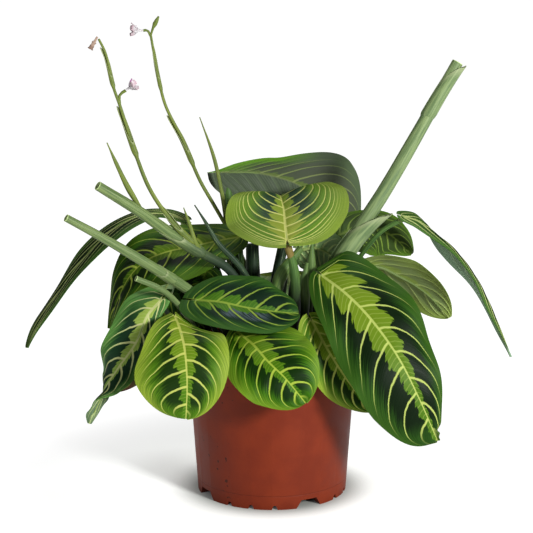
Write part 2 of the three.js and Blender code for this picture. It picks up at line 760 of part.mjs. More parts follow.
// The soil fills the pot, a little higher in the middle, with a plain hole for each stem
function soilSolid() {
  const bottom = FLOOR_LEVEL + WALL + GAP;
  const edgeRadius = wallRadius(SOIL_LEVEL) - WALL - GAP;
  let soil = latheSolid([
    [0, bottom],
    [wallRadius(bottom) - WALL - GAP - SOIL.bottomInset, bottom],
    [edgeRadius, SOIL_LEVEL - SOIL.edgeDrop],
    [edgeRadius - SOIL.edgeWidth, SOIL_LEVEL],
    [edgeRadius / 2, SOIL_LEVEL + SOIL.rise * 0.75],
    [0, SOIL_LEVEL + SOIL.rise],
  ], SOIL_SIDES);
  for (const { root, stalkRadii } of LEAVES) soil = soil.subtract(holeSolid(root, stalkRadii[0]));
  for (const { root, radii } of SHOOTS) soil = soil.subtract(holeSolid(root, radii[0]));
  return soil;
}

const plant = new THREE.Group();
plant.add(meshOf("pot", potSolid(), COLOURS.pot));
plant.add(meshOf("soil", soilSolid(), COLOURS.soil, 0.95));
for (const leaf of LEAVES) plant.add(meshOf(leaf.name, leafSolid(leaf), leaf.colour));
for (const shoot of SHOOTS) plant.add(meshOf(shoot.name, shootSolid(shoot), COLOURS.stem));
for (const flower of FLOWERS) plant.add(meshOf(flower.name, flowerSolid(flower), flower.colour));

export default plant;
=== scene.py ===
"""The looks of a potted prayer plant (maranta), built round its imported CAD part.

Leaves, stems and flowers are finer pieces with the form of their CAD nodes. Their tables and mesh
functions are in millimetres, in the frame of the part, and become metres as a mesh is made.
"""
import math
from types import SimpleNamespace

import bpy
import numpy as np
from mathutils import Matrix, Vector


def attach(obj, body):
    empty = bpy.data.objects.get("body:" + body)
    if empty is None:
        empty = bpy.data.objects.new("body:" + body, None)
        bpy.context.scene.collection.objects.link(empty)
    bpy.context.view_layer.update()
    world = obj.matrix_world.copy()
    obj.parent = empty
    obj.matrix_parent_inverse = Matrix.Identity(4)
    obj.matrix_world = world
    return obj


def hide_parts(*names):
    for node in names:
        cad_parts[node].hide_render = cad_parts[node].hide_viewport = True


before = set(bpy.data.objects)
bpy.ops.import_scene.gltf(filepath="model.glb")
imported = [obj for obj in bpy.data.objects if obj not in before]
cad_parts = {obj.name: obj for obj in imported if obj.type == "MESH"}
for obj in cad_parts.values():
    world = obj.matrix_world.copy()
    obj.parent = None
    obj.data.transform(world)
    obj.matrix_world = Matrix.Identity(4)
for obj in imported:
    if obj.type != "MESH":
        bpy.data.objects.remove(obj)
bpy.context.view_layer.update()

METRES = 0.001

# Leaves, with lists from base to tip. midrib and face set the middle of the blade and the way it
# looks. Pairs are for the left and the right half: width, lift and curl in degrees, belly, the place
# of the widest point, and round, how full the outline is at base and tip. lobe is how far the base
# reaches back, and wave has height, count and phase. veins is their number, and sweep, bend and tail
# turn them towards the tip. A tear has a half, a place, a spread and a depth.
PLAIN_LEAF = dict(
    lift=[[0], [0]], curl=[[-12], [-12]], belly=[0.46, 0.46], round=[[0.5, 0.7], [0.5, 0.7]],
    lobe=6, wave=[1.2, 2, 0], stalk_radii=[1.7], veins=7.5, sweep=0.06, bend=0.24, tail=0.1,
    look="green", joint="rib", tears=[],
)


def leaf(name, root, stalk, midrib, **more):
    return dict(PLAIN_LEAF, name="leaf_" + name, root=root, stalk=stalk, midrib=midrib, **more)


LEAVES = [
    leaf("front_right", [26, -22], [[29, -23, 132]],
         [[34, -30, 161], [50, -46, 152], [66, -60, 138], [84, -74, 115], [98, -80, 88], [111, -78, 58]],
         face=[[0.1, -0.55, 0.83], [0.1, -0.85, 0.5], [0.1, -0.98, 0.15]], width=[34, 37],
         lift=[[14, 6, 0, 0], [0]], curl=[[-20], [-20]], belly=[0.28, 0.57],
         round=[[0.12, 0.82], [0.43, 0.36]], lobe=7, wave=[1.6, 3, 0.1], look="deep",
         tears=[[0, 0.6, 0.13, 0.1], [0, 0.955, 0.012, 0.5], [0, 0.985, 0.01, 0.4]]),
    leaf("front_left", [-36, -25], [[-48, -33, 120]],
         [[-66, -51, 138], [-62, -68, 134], [-58, -85, 124], [-56, -96, 104], [-57, -96, 79]],
         face=[[0.45, -0.45, 0.8], [0, -0.95, 0.35], [0, -1, 0]], width=[29, 35], belly=[0.5, 0.64],
         round=[[0.55, 0.5], [0.6, 0.42]], wave=[1, 2, 0.4], look="light"),
    leaf("front_middle", [-13, -31], [[-19, -38, 114]],
         [[-24, -48, 126], [-13, -66, 122], [-3, -80, 114], [9, -88, 104], [22, -90, 88]],
         face=[[0, -0.5, 0.86], [0, -0.8, 0.6], [0.1, -0.98, 0.1]], width=[32, 28], belly=[0.5, 0.55],
         round=[[0.5, 0.5], [0.55, 0.5]], wave=[1, 3, 0.2], look="middle"),
    leaf("across", [-30, -16], [[-40, -24, 122]],
         [[-51, -40, 146], [-35, -45, 146], [-19, -47, 143], [-1, -46, 140], [18, -41, 137]],
         face=[[0, -0.55, 0.84], [0, -0.6, 0.8], [0, -0.6, 0.8]], width=[26, 23], lift=[[12], [8]],
         belly=[0.5, 0.41], round=[[0.5, 0.38], [0.4, 0.5]], lobe=11, veins=5.2, sweep=0.2, look="bluish"),
    leaf("heart", [13, -26], [[16, -28, 135], [15, -32, 165]],
         [[10, -36, 187], [9, -18, 193], [8, 6, 201], [6, 28, 206], [6, 46, 202]],
         stalk_radii=[2.4, 3.6, 3.4, 1.9], face=[[0, -0.2, 0.98], [0, -0.1, 1], [0, 0.2, 0.98]],
         width=[41, 46], lift=[[0, 4, 16, 20], [2, 14, 24, 26]], curl=[[-18], [-16]], belly=[0.44, 0.5],
         round=[[0.6, 0.9], [0.52, 0.45]], lobe=9, sweep=0.1, bend=0.42, tail=0.9,
         look="heart", joint="joint", joint_end=[13.5, -33, 172]),
    leaf("crown", [-18, 34], [[-26, 52, 150], [-31, 60, 195]],
         [[-33, 64, 217], [-18, 66, 217], [0, 67, 214], [18, 67, 208], [38, 64, 195], [62, 60, 170]],
         stalk_radii=[2.6, 4, 3.8, 2.6],
         face=[[0, -0.2, 0.98], [0.15, -0.25, 0.95], [0.5, -0.35, 0.8], [0.75, -0.3, 0.5]],
         width=[44, 32], lift=[[-8, 8, 32, 34], [-50, -60, -45, -20]], curl=[[0, -10, -30], [-25]],
         belly=[0.62, 0.46], round=[[0.8, 0.75], [0.5, 0.7]], lobe=14, veins=9, sweep=0.2, look="grey",
         joint="dull_rib"),
    leaf("far_left", [-26, 20], [[-36, 44, 140], [-52, 56, 172]],
         [[-64, 54, 184], [-77, 52, 188], [-90, 47, 189], [-107, 39, 184], [-123, 29, 173],
          [-139, 18, 156], [-154, 10, 136], [-167, 4, 116], [-173, 0, 102]],
         face=[[-0.1, -0.2, 0.97], [-0.6, -0.15, 0.78], [-0.85, -0.2, 0.5]], width=[21, 17],
         lift=[[4], [8]], belly=[0.5, 0.42], round=[[0.6, 1.3], [0.5, 0.5]], veins=5, sweep=0.5,
         look="ribbon"),
    leaf("left_wide", [-19, 4], [[-20, 6, 140]],
         [[-23, 10, 180], [-40, 9, 177], [-58, 8, 173], [-74, 6, 170], [-89, 3, 164], [-101, 0, 152],
          [-109, -4, 136], [-114, -8, 118]],
         face=[[0, -0.42, 0.9], [-0.1, -0.5, 0.86], [-0.9, -0.3, 0.3]], width=[36, 28], lift=[[11], [5]],
         belly=[0.4, 0.42], round=[[0.5, 0.9], [0.6, 0.9]], look="mossy"),
    leaf("left_low", [-42, -15], [[-61, -34, 122]],
         [[-76, -46, 147], [-84, -54, 139], [-92, -60, 121], [-103, -64, 106], [-115, -66, 88],
          [-124, -64, 66]],
         face=[[-0.3, -0.7, 0.65], [-0.3, -0.8, 0.4], [-0.35, -0.9, 0.2], [-0.45, -0.88, 0.05],
               [-0.9, -0.5, 0], [-0.8, 0.6, 0], [0, 1, 0]],
         width=[14, 23], lift=[[-30, -50, -40, -10, 0], [0]], belly=[0.5, 0.28],
         round=[[0.5, 0.8], [0.4, 1.15]], lobe=9, look="creamy"),
    leaf("left_hidden", [-45, -4], [[-56, -8, 122]],
         [[-71, -17, 142], [-84, -25, 121], [-97, -31, 101], [-111, -34, 80]],
         face=[[-0.3, -0.6, 0.7], [-0.4, -0.8, 0.4], [-0.4, -0.8, 0.4]], width=[20, 20], look="withering"),
    leaf("right_back", [24, 14], [[40, 30, 145]],
         [[48, 36, 176], [62, 42, 180], [76, 45, 179], [89, 44, 172], [100, 38, 161]],
         face=[[0, -0.3, 0.95], [0.1, -0.4, 0.9], [0.6, -0.4, 0.7]], width=[28, 32],
         round=[[0.5, 0.5], [0.3, 0.5]], sweep=0.16, look="dusky"),
    leaf("right_under", [40, -12], [[50, -8, 135]],
         [[62, 0, 161], [74, 4, 161], [90, 6, 153], [108, 4, 142], [125, 0, 124]],
         face=[[0.1, 0.7, 0.7], [0.1, 0.75, 0.65], [0.2, 0.8, 0.55]], width=[22, 23],
         round=[[0.35, 0.7], [0.5, 0.7]], veins=4.6, sweep=0.34, look="olive"),
    leaf("far_right", [36, 10], [[54, 14, 150], [76, 14, 182]],
         [[93, 12, 194], [104, 14, 190], [118, 16, 180], [131, 18, 168], [145, 18, 150], [158, 20, 125],
          [172, 20, 90]],
         face=[[0, -0.4, 0.9], [0.5, 0.5, 0.6], [0.6, 0.42, 0.68], [0.6, 0.42, 0.6]], width=[16, 9],
         lift=[[0], [-10, -35, -35]], curl=[[-10], [-40]], belly=[0.42, 0.4],
         round=[[0.5, 1.6], [0.5, 1.2]], look="ribbon"),
    leaf("right_low", [16, -38], [[20, -44, 118]],
         [[27, -46, 133], [37, -54, 116], [50, -54, 95], [67, -54, 72]],
         face=[[0.3, -0.7, 0.6], [0.35, -0.9, 0.3], [0.35, -0.95, 0.1]], width=[19, 20], look="light"),
    leaf("shaded_right", [10, 24], [[14, 26, 140]],
         [[19, 25, 168], [31, 22, 170], [42, 18, 166], [50, 14, 159]],
         face=[[0, 0.88, 0.47], [0, 0.88, 0.47], [0.2, 0.8, 0.5]], width=[23, 21], belly=[0.36, 0.68],
         round=[[0.25, 0.4], [0.4, 0.3]], lobe=4, look="shade"),
    leaf("shaded_left", [-40, 12], [[-43, 17, 135]],
         [[-46, 14, 155], [-49, 8, 148], [-51, 5, 134], [-52, 4, 121], [-53, 4, 109]],
         face=[[-0.1, -0.5, 0.85], [-0.1, -0.95, 0.3], [0, -1, 0]], width=[20, 20], lobe=4, look="shade"),
    leaf("back_right", [32, 26], [[38, 40, 130]],
         [[38, 50, 160], [54, 62, 158], [72, 74, 146], [88, 82, 122], [98, 84, 96]],
         face=[[0.1, -0.3, 0.93], [0.5, 0.3, 0.8], [0.7, 0.7, 0.2]], width=[28, 28], lobe=12, look="deep"),
    leaf("back_middle", [6, 38], [[8, 50, 120]],
         [[10, 62, 142], [12, 76, 140], [14, 88, 126], [15, 95, 106], [15, 98, 86]],
         face=[[0, 0.4, 0.9], [0, 0.9, 0.4], [0, 1, 0]], width=[30, 30], look="light"),
    leaf("back_left", [-34, 32], [[-44, 46, 124]],
         [[-54, 58, 148], [-68, 68, 144], [-80, 76, 128], [-88, 82, 106], [-92, 84, 84]],
         face=[[-0.2, 0.3, 0.93], [-0.6, 0.6, 0.5], [-0.7, 0.7, 0.1]], width=[29, 29]),
]


def look(colours, band_width, lobes, blotch_reach, **more):
    """How a leaf is coloured: its greens from the margin inwards, then the blotches and the veins, and
    how wide the bright band is, how far its lobes reach and how far out the blotches go, as shares of
    half the width."""
    names = ("margin", "edge", "band", "inner", "blotch", "vein")
    shares = dict(band_width=band_width, lobes=lobes, blotch_reach=blotch_reach)
    return dict(zip(names, colours.split()), **shares, **more)


# More than look() says: glint, a painted grey sheen, a reflection, on the right half; stripes of painted
# sheen, dull and pale, along the veins of the right half; tip, a colour and where it starts; under and
# under_vein, the underside's green and how much its veins show; rib, how much the midrib shows;
# blotch_from, where the blotches start.
LOOKS = {
    "green": look("#183406 #284408 #445808 #2c4606 #061202 #7c8430", 0.17, 0.14, 0.7),
    "deep": look("#1c3a0c #2a4812 #586e16 #3a5a0e #051204 #98a454", 0.19, 0.15, 0.7),
    "light": look("#3c600e #74882a #607816 #3c620e #0e2206 #a4aa54", 0.17, 0.15, 0.6),
    "heart": look("#4e6e1c #6a7e2c #748228 #5c7622 #1c3024 #b0b264", 0.1, 0.16, 0.5, blotch_from=0.22),
    "bluish": look("#1e3c16 #2a481a #365a14 #305218 #0c1c12 #728632", 0.12, 0.18, 0.72,
                       glint="#546068"),
    "withering": look("#1e3c16 #2a481a #365814 #2e5018 #0c1c12 #708232", 0.12, 0.18, 0.72,
                          tip=["#4a3024", 0.7]),
    # shade is a darker copy of bluish: painted shade for leaves deep in the plant.
    "shade": look("#0e2006 #142a08 #1c3406 #183008 #040c04 #384812", 0.12, 0.18, 0.72),
    "olive": look("#445e1c #546e22 #6c8a20 #4c7018 #182c0c #a0a854", 0.1, 0.1, 0.6,
                  under="#627234", under_vein=0.3, rib=0.3),
    # grey: its greys, the blotches and the stripes on the right half, are a painted sheen of a blade seen
    # at a grazing angle.
    "grey": look("#466e1c #54821c #4c5a2e #465828 #3c4234 #667044", 0.04, 0.05, 0.75,
                     stripes=["#3a4434", "#4c5842"], tip=["#425038", 0.35], rib=0.4),
    "middle": look("#2c5406 #58761a #48680c #2c5406 #061c02 #8a9c36", 0.17, 0.15, 0.6),
    "dusky": look("#385414 #446216 #48621c #40581a #2c3c1a #667a34", 0.04, 0.05, 0.9),
    "mossy": look("#284a0a #3a560e #46600e #2e480a #081403 #7c8a34", 0.17, 0.14, 0.62, glint="#2c3228"),
    "creamy": look("#345a28 #4c7436 #7c923e #688438 #102618 #a8ac74", 0.12, 0.1, 0.7,
                       under="#4c6246"),
    "ribbon": look("#2a4618 #365620 #465e22 #3c561e #0a1a08 #909a60", 0.05, 0.04, 0.7,
                       under="#7c987c", under_vein=0.3),
}
DARK_LOOKS = ("bluish", "withering", "grey", "dusky", "shade")
UNDERSIDE = dict(plain="#6f8a58", vein="#a9b678", blotch="#5d6a50")


def wrap(start, end, radius, lean, slant, turn=2.2):
    """A sheath round a shoot between two places along it, radius wide. Its mouth is cut on the slant,
    its tip leans away, and turn is the angle at which its edges meet."""
    return dict(start=start, end=end, radius=radius, lean=lean, slant=slant, turn=turn)


def branch(path, radii, **more):
    return dict(path=path, radii=radii, **more)


def shoot(name, material, root, path, radii, **more):
    """A shoot's values. Its path starts above the soil, and cut gives it an open cut end."""
    return branch(path, radii, name=name, material=material, root=root, **more)


SHOOTS = [
    shoot("cut_stem_right", "pale_stem", [31, -4],
          [[39, -4, 140], [47, -2, 164], [79, 8, 214], [103, 15, 255], [129, 23, 301]],
          [4.6, 4.6, 5, 5.2, 5, 4.6, 4], cut=True,
          sheaths=[wrap(0.3, 0.53, 7.4, [8, -3, -1], 0.45, turn=-0.1),
                   wrap(0.8, 1.0, 5.2, [3, -1, 1], 0.3, turn=-0.1)]),
    shoot("cut_stem_left", "low_stem", [-28, -4],
          [[-36, -11, 127], [-53, -24, 146], [-83, -43, 171], [-115, -57, 194], [-136, -66, 208]],
          [3.4, 3.4, 3.6, 3.8, 3.5, 3, 2.6], cut=True,
          sheaths=[wrap(0.5, 0.62, 4.1, [0, -1, 1], 0.5)]),
    shoot("flowering_shoot_left", "green_stem", [-12, -14],
          [[-18, -16, 142], [-30, -20, 163], [-49, -30, 177], [-69, -39, 192], [-88, -51, 209],
           [-115, -63, 229]],
          [3, 3, 3, 3.1, 3.4, 3.8, 3.6, 3.2], cut=True,
          sheaths=[wrap(0.52, 0.8, 4.4, [0, -2, 2], 0.6)],
          branches=[
              # the flower stalk, the foot of a flower and two young leaves, still rolled
              branch([[-42, -27, 172], [-54, -34, 185], [-68, -40, 201], [-82, -43, 223],
                      [-92, -45, 250], [-101, -46, 280], [-105, -46, 292], [-110, -46, 315],
                      [-114, -48, 324]],
                     [1.7, 1.5, 1.4, 1.2, 1, 0.8],
                     sheaths=[wrap(0.1, 0.32, 2.4, [1, -1, 1], 0.6),
                              wrap(0.52, 0.74, 2.1, [-1, -1, 0], 0.7),
                              wrap(0.8, 0.97, 1.6, [-1, -1, 0], 0.7)]),
              branch([[-101, -46, 281], [-101, -46, 287], [-97, -46, 290]], [0.9, 0.9, 1.1]),
              branch([[-86, -50, 208], [-96, -53, 226], [-102, -56, 240], [-109, -58, 257]],
                     [1.2, 2, 1.4, 0.4]),
              branch([[-47, -30, 177], [-52, -34, 184], [-56, -34, 197], [-60, -34, 209]],
                     [1.4, 1.8, 1.4, 0.4]),
          ]),
    shoot("cut_stem_left_short", "low_stem", [-44, -26],
          [[-52, -31, 122], [-64, -40, 143], [-75, -50, 156], [-91, -57, 165]],
          [2, 2, 2, 2.1, 2, 1.9], cut=True),
    shoot("flower_stalk_back", "shoot", [-8, 24],
          [[-18, 40, 150], [-33, 47, 180], [-42, 48, 196], [-52, 48, 214], [-64, 48, 243],
           [-76, 48, 268], [-81, 48, 289], [-86, 48, 319]],
          [1.5, 1.5, 1.5, 1.5, 1.4, 1.3, 1.2, 1.1, 1, 0.9],
          sheaths=[wrap(0.6, 0.77, 2, [-1, -1, 0], 0.7),
                   wrap(0.83, 0.98, 1.5, [1, -1, 0], 0.7)],
          branches=[
              # a bud and the foot of a flower
              branch([[-86, 48, 317], [-84, 48, 323], [-82, 48, 327], [-80, 48, 331]],
                     [0.8, 0.8, 1.8, 0.6]),
              branch([[-86, 48, 317], [-88, 48, 321], [-91, 48, 321]], [0.8, 0.9, 1]),
          ]),
    shoot("rolled_leaf_left", "dark_stem", [-4, -10],
          [[-10, -17, 140], [-21, -22, 164], [-37, -26, 183], [-46, -25, 198], [-53, -24, 209]],
          [1.6, 1.6, 2, 2.2, 1.8, 0.5]),
    shoot("rolled_leaf_back", "shoot", [-26, 37],
          [[-31, 47, 150], [-34, 51, 190], [-38, 52, 213], [-42, 54, 230], [-52, 58, 258]],
          [1.5, 1.5, 1.6, 1.6, 1.4, 0.4]),
    shoot("rolled_leaf_right", "young", [24, -11], [[27, -13, 140], [27, -14, 162], [28, -13, 187]],
          [1.6, 1.6, 2.6, 3.4, 0.5]),
    shoot("sheath_right", "young", [21, -17], [[22, -20, 138], [22, -21, 155], [24, -21, 168]],
          [1.8, 1.8, 3.6, 4.4, 1.2]),
    shoot("sheath_middle", "young", [4, -20], [[2, -19, 140], [6, -18, 158], [20, -14, 177]],
          [3.4, 3.4, 4.4, 4.6, 2.4]),
    shoot("bare_stalk_left", "dark_stem", [-11, 10], [[-13, 12, 140], [-14, 13, 174]],
          [4.2, 4.2, 5.2, 4.6]),
    shoot("bare_stalk_right", "dark_stem", [3, 2], [[2, 5, 140], [8, 10, 176]], [3.4, 3.4, 4, 3.6]),
]

# Flowers: where each starts, the way it points, how far its petals reach, how far they spread and how
# broad they are as shares of that, and the paints of most petals and of the second one.
FLOWERS = [
    dict(name="flower_left", foot=[-96.6, -46, 290.4], axis=[0.8, -0.2, 0.55], petals=5, reach=8,
         spread=0.5, breadth=0.3, paints=["petal", "bright_petal"], slot="flower"),
    dict(name="flower_back", foot=[-91.5, 48, 321], axis=[-0.95, -0.2, 0.1], petals=5, reach=9,
         spread=0.5, breadth=0.3, paints=["petal", "petal"], slot="flower"),
    dict(name="flower_withered", foot=[-114.8, -48.3, 325.6], axis=[-0.5, -0.2, -0.85], petals=3,
         reach=10, spread=0.12, breadth=0.1, paints=["withered", "withered"], slot="withered"),
]

STEM_COLOURS = {
    "pale_stem": dict(pale="#6f8054", dark="#506440"),
    "green_stem": dict(pale="#6c7c4c", dark="#485c34", root="#1c2a20", shade_below=0.195),
    "shoot": dict(pale="#6a762e", dark="#48582a"),
    "low_stem": dict(pale="#6c7c4c", dark="#4c6038", shade_below=0.14),
    "young": dict(pale="#5a7038", dark="#3c542a", shade_below=0.155),
    # dark_stem is darker all over: painted shade on shoots deep in the plant.
    "dark_stem": dict(pale="#384c32", dark="#16261a", lines="#7d8c60"),
    "stalk": dict(pale="#4c6a30", dark="#2a461e"),
    "rib": dict(pale="#8b9a5c", dark="#6c8146", shade_below=0.05),
    "dull_rib": dict(pale="#5d6e3a", dark="#4a5c2e", shade_below=0.05),
    "joint": dict(pale="#6b5a30", dark="#62592b", shade_below=0.05),
}
PETAL_COLOURS = {
    "petal": dict(pale="#b0acae", tint="#a48a92", rough=0.6),
    "bright_petal": dict(pale="#a89aa6", tint="#86407a", rough=0.6),
    "withered": dict(pale="#8f7868", tint="#6e5444", rough=0.8),
}
LIGHTS = {   # place, size and power
    "key": ((0.82, -1.06, 0.6), 0.25, 32),
    "top": ((-0.1, 0.5, 1.5), 0.7, 9),
    "left": ((-1.3, -0.7, 0.4), 0.6, 5),
}
LIT_PLACE = (0, 0, 0.16)
WORLD_LIGHT = 0.04
FLOOR_HALF = 12.0

CAMERA_PLACE = (-0.0039, -1.2697, 0.4399)
CAMERA_DROP = math.radians(12.4)   # how far below the horizon it looks
CAMERA_LENS = 125.4

SOIL_LEVEL = 95
HOLE_DEPTH = 10
HOLE_GAP = 0.3   # between the floor of a hole and the stem in it
UPRIGHT_ABOVE_SOIL = 5
CRUMBS = 1400
CRUMB_SPREAD = 56   # the soil's radius that crumbs lie within
CRUMB_RISE = 1.2   # above the soil in the middle
CRUMB_FALL = 1.4   # from the middle to the edge

NARROWEST = 1.3   # half a blade's width at its very ends
CROWDING = 0.6   # how much closer rows stand near base and tip
HALF_SHIFT = 0.3   # how far the waves of one half run ahead of the other's
BLADE_ROWS = 100
BLADE_COLUMNS = 56
BLADE_THICKNESS = (0.75, 0.35)   # at the midrib and at the edge
PETAL_ROWS = 20
PETAL_COLUMNS = 10
PETAL_THICKNESS = (0.5, 0.25)
QUILT_HEIGHT = 0.55   # of the blade between two veins
GROOVE_DEPTH = 0.3   # along the midrib
GROOVE_HALF = 1.6
VEIN_SHIFT = 0.4   # how far the veins of one half stand behind the other's
SEED_STEP = 1.7   # between the noises of one leaf and the next
KEEL_ROWS = [0, 4, 12, 25, 40, 55, 70, 85]
KEEL_SIDES = 10
KEEL_SUNK = 0.25   # under the upper face, beyond the keel's own radius
TUBE_SIDES = 20
THIN_TUBE_SIDES = 12
CUT_DEPTH = 1.6   # of the hollow in a cut stem
SHEATH_SIDES = 28
SHEATH_RINGS = 26
SHEATH_WALL = 0.45
FRAY = 0.035   # of a sheath's mouth, as a share of its length
SHARP_ANGLE = math.radians(50)
CORNER_ANGLE = math.radians(25)   # between faces of a CAD node that keep a sharp corner
WELD_DISTANCE = 0.00002

# UV layers hold millimetres divided by these, so that they stay small numbers.
LENGTH_UNIT = 100
SPACING_UNIT = 20

UPPER, UNDER, STALK, KEEL, JOINT = range(5)   # a leaf's materials
SKIN, CUT, BRANCH = range(3)   # a shoot's materials


# Shapes

def unit(vectors):
    return vectors / np.linalg.norm(vectors, axis=-1, keepdims=True)


def smoothstep(x, low=0.0, high=1.0):
    w = np.clip((x - low) / (high - low), 0, 1)
    return w * w * (3 - 2 * w)


def between(stations, s):
    """Values or vectors between stations at even steps, eased so that they have no corners."""
    stations = np.asarray(stations, float)
    last = len(stations) - 1
    if last == 0:
        return np.repeat(stations, len(s), axis=0)
    at = np.clip(s, 0, 1) * last
    index = np.minimum(at.astype(int), last - 1)
    eased = smoothstep(at - index)
    if stations.ndim == 2:
        eased = eased[:, None]
    return stations[index] * (1 - eased) + stations[index + 1] * eased


class Spline:
    """A centripetal Catmull-Rom curve through points, measured in even steps of its length."""

    STEPS = np.linspace(0, 1, 201)
    SHORT = 1e-4

    def __init__(self, points):
        points = np.asarray(points, float)
        self.last = len(points) - 1
        self.padded = np.vstack([2 * points[0] - points[1], points, 2 * points[-1] - points[-2]])
        parts = np.linalg.norm(np.diff(self.trace(self.STEPS), axis=0), axis=1)
        self.lengths = np.concatenate([[0], np.cumsum(parts)])
        self.length = self.lengths[-1]

    def trace(self, t):
        at = np.clip(t, 0, 1) * self.last
        index = np.minimum(at.astype(int), self.last - 1)
        w = (at - index)[:, None]
        p0, p1, p2, p3 = (self.padded[index + k] for k in range(4))
        d0, d1, d2 = (
            np.maximum(np.sqrt(np.linalg.norm(b - a, axis=1, keepdims=True)), self.SHORT)
            for a, b in ((p0, p1), (p1, p2), (p2, p3))
        )
        leave = ((p1 - p0) / d0 - (p2 - p0) / (d0 + d1) + (p2 - p1) / d1) * d1
        arrive = ((p2 - p1) / d1 - (p3 - p1) / (d1 + d2) + (p3 - p2) / d2) * d1
        square = -3 * p1 + 3 * p2 - 2 * leave - arrive
        cube = 2 * p1 - 2 * p2 + leave + arrive
        return p1 + leave * w + square * w**2 + cube * w**3

    def _t(self, s):
        return np.interp(np.asarray(s) * self.length, self.lengths, self.STEPS)

    def at(self, s):
        return self.trace(self._t(s))

    def along(self, s):
        t = self._t(s)
        return unit(self.trace(np.minimum(t + self.SHORT, 1)) - self.trace(np.maximum(t - self.SHORT, 0)))


def half_width(leaf, s, side):
    stretch = math.log(0.5) / math.log(leaf["belly"][side])
    low, high = leaf["round"][side]
    fullness = low + (high - low) * s
    profile = np.clip(np.sin(math.pi * s**stretch), 0, 1) ** fullness
    half = NARROWEST + (leaf["width"][side] - NARROWEST) * profile
    for torn_side, place, spread, depth in leaf["tears"]:
        if torn_side == side:
            half = half * (1 - depth * np.exp(-(((s - place) / spread) ** 2)))
    return half


def blade_grid(leaf, s, v):
    """Points of the upper face, one row for each s from base to tip and one column for each v."""
    rib = Spline(leaf["midrib"])
    along = rib.along(s)
    face = between(leaf["face"], s)
    normal = unit(face - np.sum(face * along, axis=1, keepdims=True) * along)
    across = np.cross(along, normal)
    side = (v >= 0).astype(int)
    reach = np.abs(v)[None, :]

    def spread(left, right):
        """The left half's values in its columns, and the right half's in the others."""
        return np.stack([left, right], axis=1)[:, side]

    half = spread(*(half_width(leaf, s, k) for k in (0, 1)))
    lift = np.radians(spread(*(between(values, s) for values in leaf["lift"])))
    curl = np.radians(spread(*(between(values, s) for values in leaf["curl"])))
    curl = np.where(curl == 0, 1e-3, curl)
    out = half * (np.sin(lift + curl * reach) - np.sin(lift)) / curl * np.sign(v)[None, :]
    up = half * (np.cos(lift) - np.cos(lift + curl * reach)) / curl
    height, count, phase = leaf["wave"]
    turn = count * s[:, None] + phase + HALF_SHIFT * side[None, :]
    wave = height * reach**2 * np.sin(2 * math.pi * turn)
    back = leaf["lobe"] * reach**2 * (1 - s[:, None]) ** 3
    points = (
        rib.at(s)[:, None, :]
        + across[:, None, :] * out[..., None]
        + normal[:, None, :] * (up + wave)[..., None]
        - along[:, None, :] * back[..., None]
    )
    return points, half


def vein_place(leaf, s, v, side):
    """How many lateral veins lie between the base and a place on the blade. Each whole number is a
    vein, which leaves the midrib at a wide angle and bends towards the tip."""
    reach = np.abs(v)[None, :]
    bend = leaf["sweep"] * reach + leaf["bend"] * reach**2 + leaf["tail"] * reach**6
    return leaf["veins"] * (s[:, None] - bend) + VEIN_SHIFT * side


def vein_spacing(along, across, place, s, v):
    """Millimetres between neighbouring veins on a blade that is stretched along and across."""
    e, f, g = (np.sum(a * b, axis=-1) for a, b in ((along, along), (along, across), (across, across)))
    rise = np.gradient(place, s, axis=0)
    side = np.gradient(place, v, axis=1)
    steep = (g * rise**2 - 2 * f * rise * side + e * side**2) / np.maximum(e * g - f**2, 1e-6)
    return 1 / np.sqrt(np.maximum(steep, 1e-6))


def in_scene(name, data):
    thing = bpy.data.objects.new(name, data)
    bpy.context.scene.collection.objects.link(thing)
    return thing


class Body:
    """Collects vertices and faces, and the three UV layers and material of each face."""

    LAYERS = ("place", "veins", "size")

    def __init__(self):
        self.points = []
        self.faces = []
        self.materials = []
        self.uv = {layer: [] for layer in self.LAYERS}
        self.count = 0

    def add(self, points, faces, material, **uv):
        """material is one for all faces or one for each. A UV layer has two values for every corner of
        every face in turn."""
        self.points.append(np.asarray(points, float).reshape(-1, 3))
        self.faces.extend([tuple(self.count + i for i in face) for face in faces])
        self.materials.extend(np.broadcast_to(material, len(faces)).tolist())
        corners = sum(len(face) for face in faces)
        for layer in self.LAYERS:
            self.uv[layer].append(uv.get(layer, np.zeros((corners, 2))))
        self.count += len(self.points[-1])

    def build(self, name, materials):
        mesh = bpy.data.meshes.new(name)
        points = np.concatenate(self.points) * METRES
        mesh.from_pydata(points.tolist(), [], self.faces)
        mesh.polygons.foreach_set("material_index", self.materials)
        mesh.polygons.foreach_set("use_smooth", [True] * len(self.faces))
        for layer in self.LAYERS:
            values = np.concatenate(self.uv[layer]).astype(np.float32)
            mesh.uv_layers.new(name=layer).data.foreach_set("uv", values.ravel())
        for material in materials:
            mesh.materials.append(material)
        mesh.set_sharp_from_angle(angle=SHARP_ANGLE)
        mesh.update()
        return in_scene(name, mesh)


def sheet_faces(rows, columns):
    """Faces of a thin closed sheet between two grids of points: those of the first grid, those of the
    second, and the edge between them."""
    below = rows * columns
    upper, lower, rim = [], [], []
    for a in range(0, below - columns, columns):
        for k in range(a, a + columns - 1):
            upper.append((k, k + 1, k + columns + 1, k + columns))
            lower.append((below + k, below + k + columns, below + k + columns + 1, below + k + 1))
        b, c, d = a + columns, a + columns - 1, a + 2 * columns - 1
        rim.append((b, below + b, below + a, a))
        rim.append((c, below + c, below + d, d))
    for a in range(columns - 1):
        b = below - columns + a
        rim.append((a, below + a, below + a + 1, a + 1))
        rim.append((b + 1, below + b + 1, below + b, b))
    return upper, lower, rim


def corner_pairs(faces, a, b):
    """Two values of each point of a grid, at the corners of a sheet that has this grid twice."""
    pairs = np.stack([np.tile(np.ravel(a), 2), np.tile(np.ravel(b), 2)], axis=1)
    return pairs[np.ravel(faces)]


